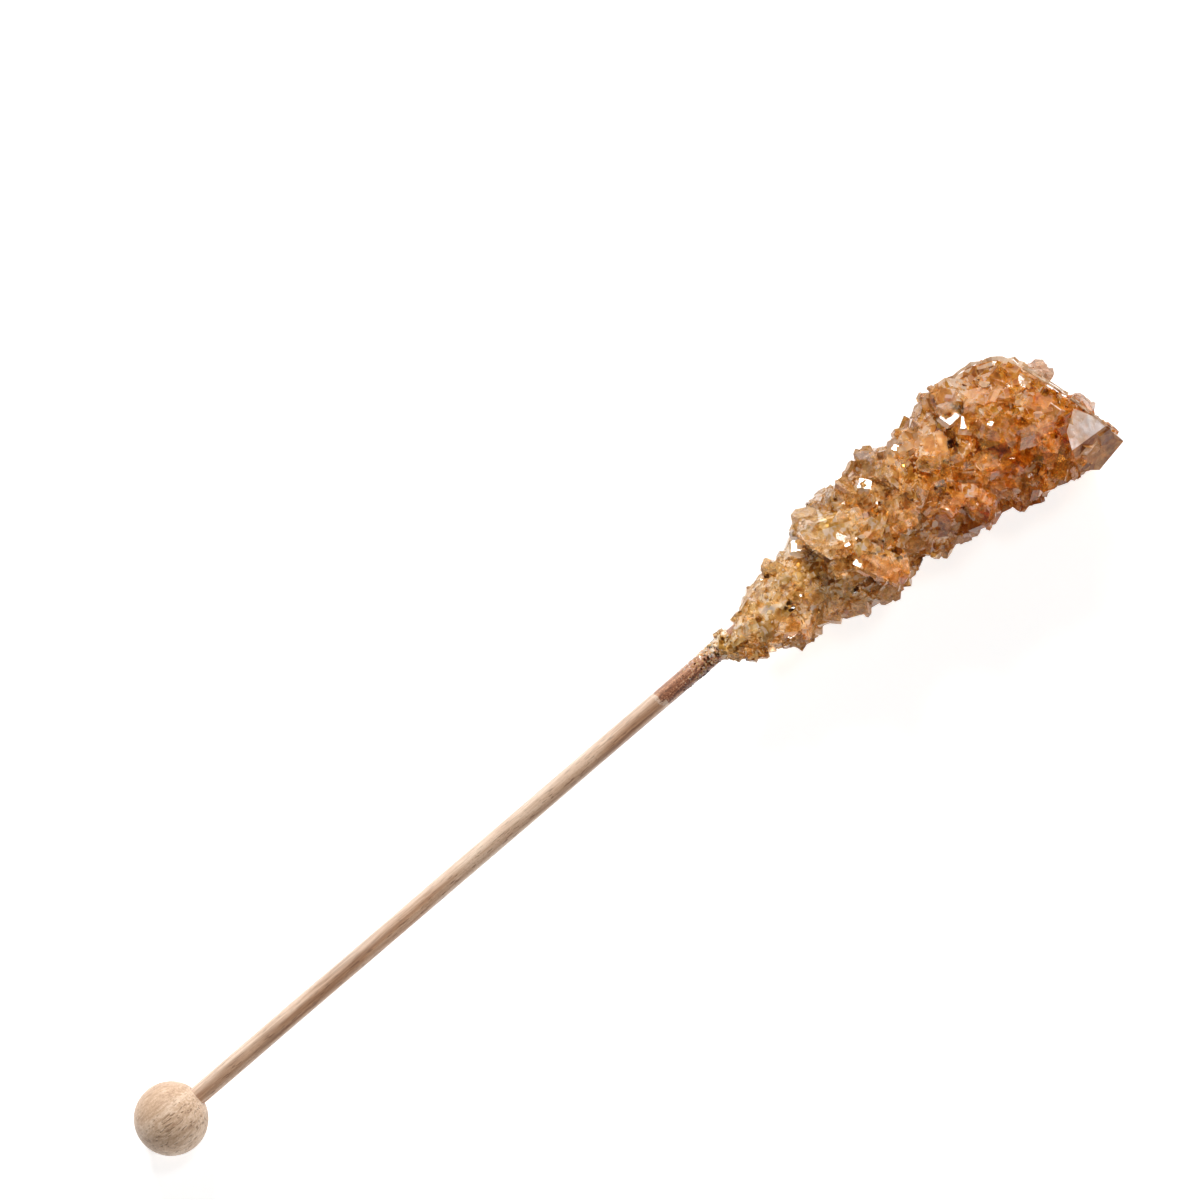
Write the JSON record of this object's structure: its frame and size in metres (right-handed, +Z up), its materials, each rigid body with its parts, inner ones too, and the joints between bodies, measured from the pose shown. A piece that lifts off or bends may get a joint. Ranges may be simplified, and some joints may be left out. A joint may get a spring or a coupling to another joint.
{
  "type": "rock candy stick",
  "caption": "Amber sugar crystals grown as a tapered club round one end of a thin wooden dowel, with a turned wooden ball on the other end to hold it by.",
  "frame": {"origin": "on the surface that the stick lies on, under the middle of its bounding box", "axes": "+X along the dowel from the ball towards the candy, +Y to the left of that way, +Z up"},
  "size_m": [0.1806, 0.0262, 0.0231],
  "materials": {
    "dowel_wood": "plain sanded beech, stained red-brown next to the candy",
    "ball_wood": "plain turned beech, smooth and matt",
    "amber_sugar": "glossy translucent sugar crystals, yellowish tan at the dowel, amber brown at the tip"
  },
  "bodies": {
    "root": {"stick": "dowel_wood", "ball": "ball_wood", "candy": "amber_sugar"}
  },
  "joints": []
}
